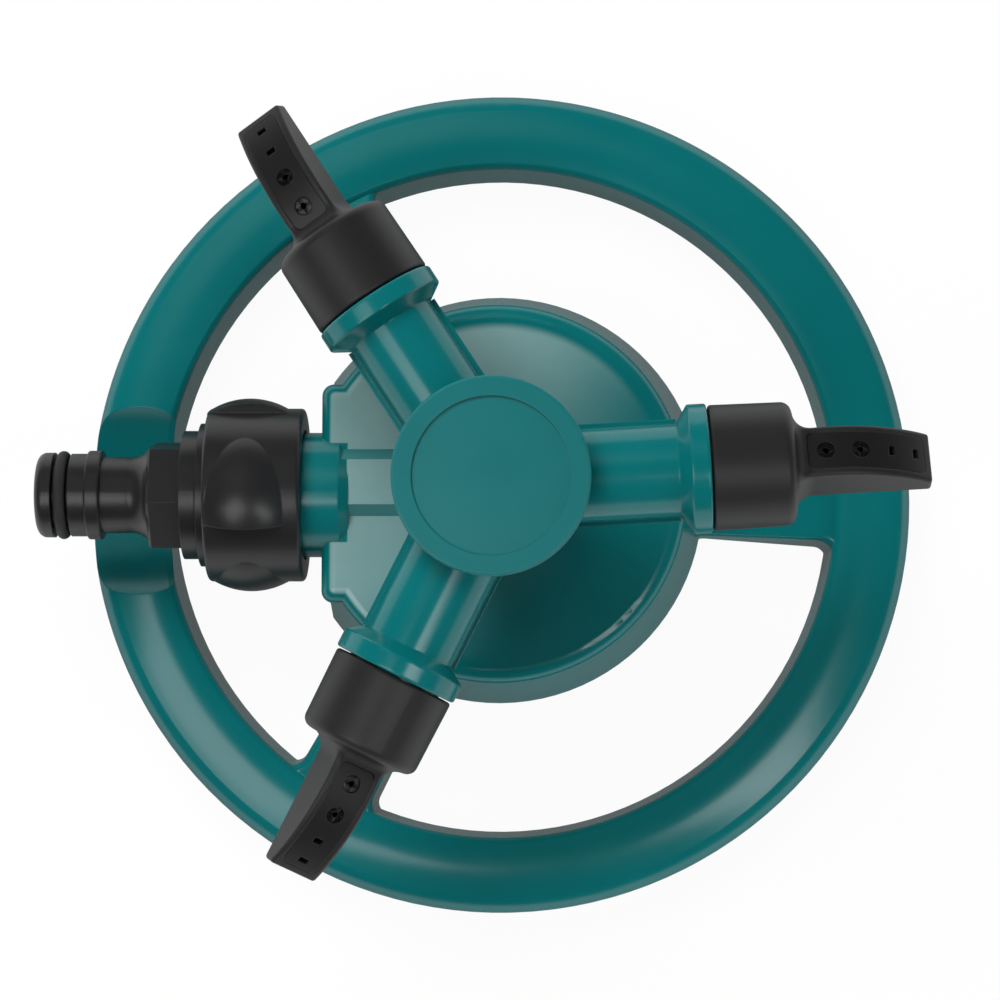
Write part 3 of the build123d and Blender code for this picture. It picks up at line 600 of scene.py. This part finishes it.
class SPRINKLER_OT_black(bpy.types.Operator):
    """Finish the nozzles, nut and nipple in black plastic"""

    bl_idname = "sprinkler.black"
    bl_label = "Black mouldings"

    def execute(self, context):
        colours, surface = context.scene.sprinkler_colours, context.scene.sprinkler_surface
        satin = moulded_plastic("black_satin", colours.black, surface.black_roughness, surface)
        gloss = moulded_plastic("black_gloss", colours.black, surface.gloss_roughness, surface)
        plate = moulded_plastic("black_plate", colours.plate, surface.black_roughness, surface)
        jets = moulded_plastic("black_jets", colours.jet, surface.jet_roughness, surface)
        dress(["black_plastic"], satin)
        dress(["swivel_nut", "hose_nipple"], gloss)
        dress(["nozzle_1_jet_plate", "nozzle_2_jet_plate", "nozzle_3_jet_plate"], plate)
        dress(["jet_black_plastic"], jets)
        return {"FINISHED"}


class SPRINKLER_OT_inner(bpy.types.Operator):
    """Finish the stem, washers, seals and snap ring"""

    bl_idname = "sprinkler.inner"
    bl_label = "Inner pieces"

    def execute(self, context):
        colours, surface = context.scene.sprinkler_colours, context.scene.sprinkler_surface
        acetal = moulded_plastic(
            "acetal", colours.acetal, surface.acetal_roughness, surface, mottle=0.04
        )
        dress(["white_acetal"], acetal)
        dress(["rubber"], soft_rubber("seal_rubber", colours.rubber))
        dress(["spring_steel"], brushed_steel("ring_steel", colours.steel))
        return {"FINISHED"}


def softbox(name, place, size, power, mirrored=True):
    """Area light that faces the object; one that isn't mirrored makes no highlight."""
    data = bpy.data.lights.new(name, "AREA")
    data.shape = "RECTANGLE"
    data.size, data.size_y = size
    data.energy = power
    lamp = bpy.data.objects.new(name, data)
    lamp.location = place
    aim = Vector(LIGHT_AIM) - Vector(place)
    lamp.rotation_euler = aim.to_track_quat("-Z", "Y").to_euler()
    lamp.visible_glossy = mirrored
    bpy.context.scene.collection.objects.link(lamp)


def viewing_rays(finish):
    """Masks of the rays that show a thing directly and of those that show it in a reflection."""
    camera, glossy, through = (
        finish.node("ShaderNodeLightPath", output=f"Is {kind} Ray")
        for kind in ("Camera", "Glossy", "Transmission")
    )
    return camera, glossy + through


def pale_floor(colour):
    """Nearly white floor that takes a soft shadow; reflections see painted shade under the object.
    """
    finish = new_material("studio_floor")
    camera, mirrored = viewing_rays(finish)
    place = finish.node("ShaderNodeNewGeometry", output="Position")
    beyond = between(finish, distance(finish, place), SHADE_START, SHADE_END)
    # Painted shade: in reflections the glow is dim under the object and rises beyond it.
    level = camera + mirrored * (FLOOR_SHADED + (FLOOR_OPEN - FLOOR_SHADED) * beyond)
    paper = finish.node("ShaderNodeBsdfDiffuse", sockets={"Color": rgba(colour)})
    glow = finish.node("ShaderNodeEmission", sockets={"Color": level, "Strength": 1.0})
    seen = FLOOR_GLOW * (camera + mirrored)
    shader = finish.node("ShaderNodeMixShader", sockets={"Fac": seen, 1: paper, 2: glow})
    finish.node("ShaderNodeOutputMaterial", sockets={"Surface": shader})
    return finish.owner


def pale_world(level):
    """Light from all round the horizon; what is seen of it is white low down and dim overhead."""
    world = bpy.data.worlds.new("studio_world")
    bpy.context.scene.world = world
    finish = Finish(world)
    direction = finish.node("ShaderNodeTexCoord", output="Generated")
    height = finish.node("ShaderNodeSeparateXYZ", sockets={"Vector": direction}, output="Z")
    horizon = finish.node(
        "ShaderNodeValToRGB",
        {"stops": [(0.12, WHITE), (0.45, (0.03, 0.03, 0.03, 1))]},
        {"Fac": height},
    )
    backdrop = finish.node(
        "ShaderNodeValToRGB",
        {"stops": [(0.02, WHITE), (0.20, (0.02, 0.02, 0.02, 1))]},
        {"Fac": height},
    )
    light = finish.node("ShaderNodeBackground", sockets={"Color": horizon, "Strength": level})
    shown = finish.node("ShaderNodeBackground", sockets={"Color": backdrop, "Strength": 1.0})
    camera, mirrored = viewing_rays(finish)
    shader = finish.node(
        "ShaderNodeMixShader", sockets={"Fac": camera + mirrored, 1: light, 2: shown}
    )
    finish.node("ShaderNodeOutputWorld", sockets={"Surface": shader})


def looking_down(place, target):
    """Place of a camera that looks down at its target with +X to the right of its picture."""
    back = (place - target).normalized()
    right = (Vector((1, 0, 0)) - back * back.x).normalized()
    turn = Matrix((right, back.cross(right), back)).transposed()
    return Matrix.Translation(place) @ turn.to_4x4()


class SPRINKLER_OT_stage(bpy.types.Operator):
    """Set up the floor, lights and camera"""

    bl_idname = "sprinkler.stage"
    bl_label = "Studio"

    def execute(self, context):
        scene = context.scene
        studio = scene.sprinkler_studio
        mesh = bpy.data.meshes.new("studio_floor")
        half = FLOOR_HALF
        corners = [(-half, -half, 0), (half, -half, 0), (half, half, 0), (-half, half, 0)]
        mesh.from_pydata(corners, [], [(0, 1, 2, 3)])
        mesh.materials.append(pale_floor(studio.floor))
        floor = bpy.data.objects.new("studio_floor", mesh)
        floor.location.z = cad_box[0][2] - FLOOR_GAP
        scene.collection.objects.link(floor)

        pale_world(studio.sky)
        key, fill = studio.key_power, studio.fill_power
        softbox("key_softbox", (-0.30, 0.56, 0.86), (0.62, 0.62), key, mirrored=False)
        softbox("left_softbox", (-0.21, -0.15, 0.56), (0.24, 0.30), studio.left_power)
        softbox("right_softbox", (0.215, -0.195, 0.55), (0.11, 0.27), studio.right_power)
        softbox("fill_softbox", (0.34, -0.46, 0.09), (0.40, 0.12), fill, mirrored=False)

        data = bpy.data.cameras.new("photo_camera")
        data.lens = studio.lens
        data.sensor_width = SENSOR_WIDTH
        camera = bpy.data.objects.new("photo_camera", data)
        place = Vector(studio.camera_place)
        camera.matrix_world = looking_down(place, Vector(studio.camera_target))
        scene.collection.objects.link(camera)
        scene.camera = camera
        scene.view_settings.view_transform = "Standard"
        return {"FINISHED"}


OPERATORS = (
    SPRINKLER_OT_teal,
    SPRINKLER_OT_black,
    SPRINKLER_OT_inner,
    SPRINKLER_OT_thread,
    SPRINKLER_OT_stage,
)


class SPRINKLER_PT_panel(bpy.types.Panel):
    """Lists the sprinkler's settings and steps"""

    bl_idname = "SPRINKLER_PT_panel"
    bl_label = "Lawn sprinkler"
    bl_space_type = "VIEW_3D"
    bl_region_type = "UI"
    bl_category = "Sprinkler"

    def draw(self, context):
        scene = context.scene
        for group in (
            scene.sprinkler_colours,
            scene.sprinkler_surface,
            scene.sprinkler_thread,
            scene.sprinkler_studio,
        ):
            box = self.layout.box()
            for name in group.__annotations__:
                box.prop(group, name)
        for operator in OPERATORS:
            self.layout.operator(operator.bl_idname)


CLASSES = (
    SprinklerColours,
    SprinklerSurface,
    SprinklerThread,
    SprinklerStudio,
    *OPERATORS,
    SPRINKLER_PT_panel,
)


def register():
    for cls in CLASSES:
        bpy.utils.register_class(cls)
    bpy.types.Scene.sprinkler_colours = PointerProperty(type=SprinklerColours)
    bpy.types.Scene.sprinkler_surface = PointerProperty(type=SprinklerSurface)
    bpy.types.Scene.sprinkler_thread = PointerProperty(type=SprinklerThread)
    bpy.types.Scene.sprinkler_studio = PointerProperty(type=SprinklerStudio)


def unregister():
    del bpy.types.Scene.sprinkler_studio
    del bpy.types.Scene.sprinkler_thread
    del bpy.types.Scene.sprinkler_surface
    del bpy.types.Scene.sprinkler_colours
    for cls in reversed(CLASSES):
        bpy.utils.unregister_class(cls)


def main():
    register()
    bpy.ops.sprinkler.teal()
    bpy.ops.sprinkler.black()
    bpy.ops.sprinkler.inner()
    bpy.ops.sprinkler.thread()
    bpy.ops.sprinkler.stage()


if __name__ == "__main__":
    main()
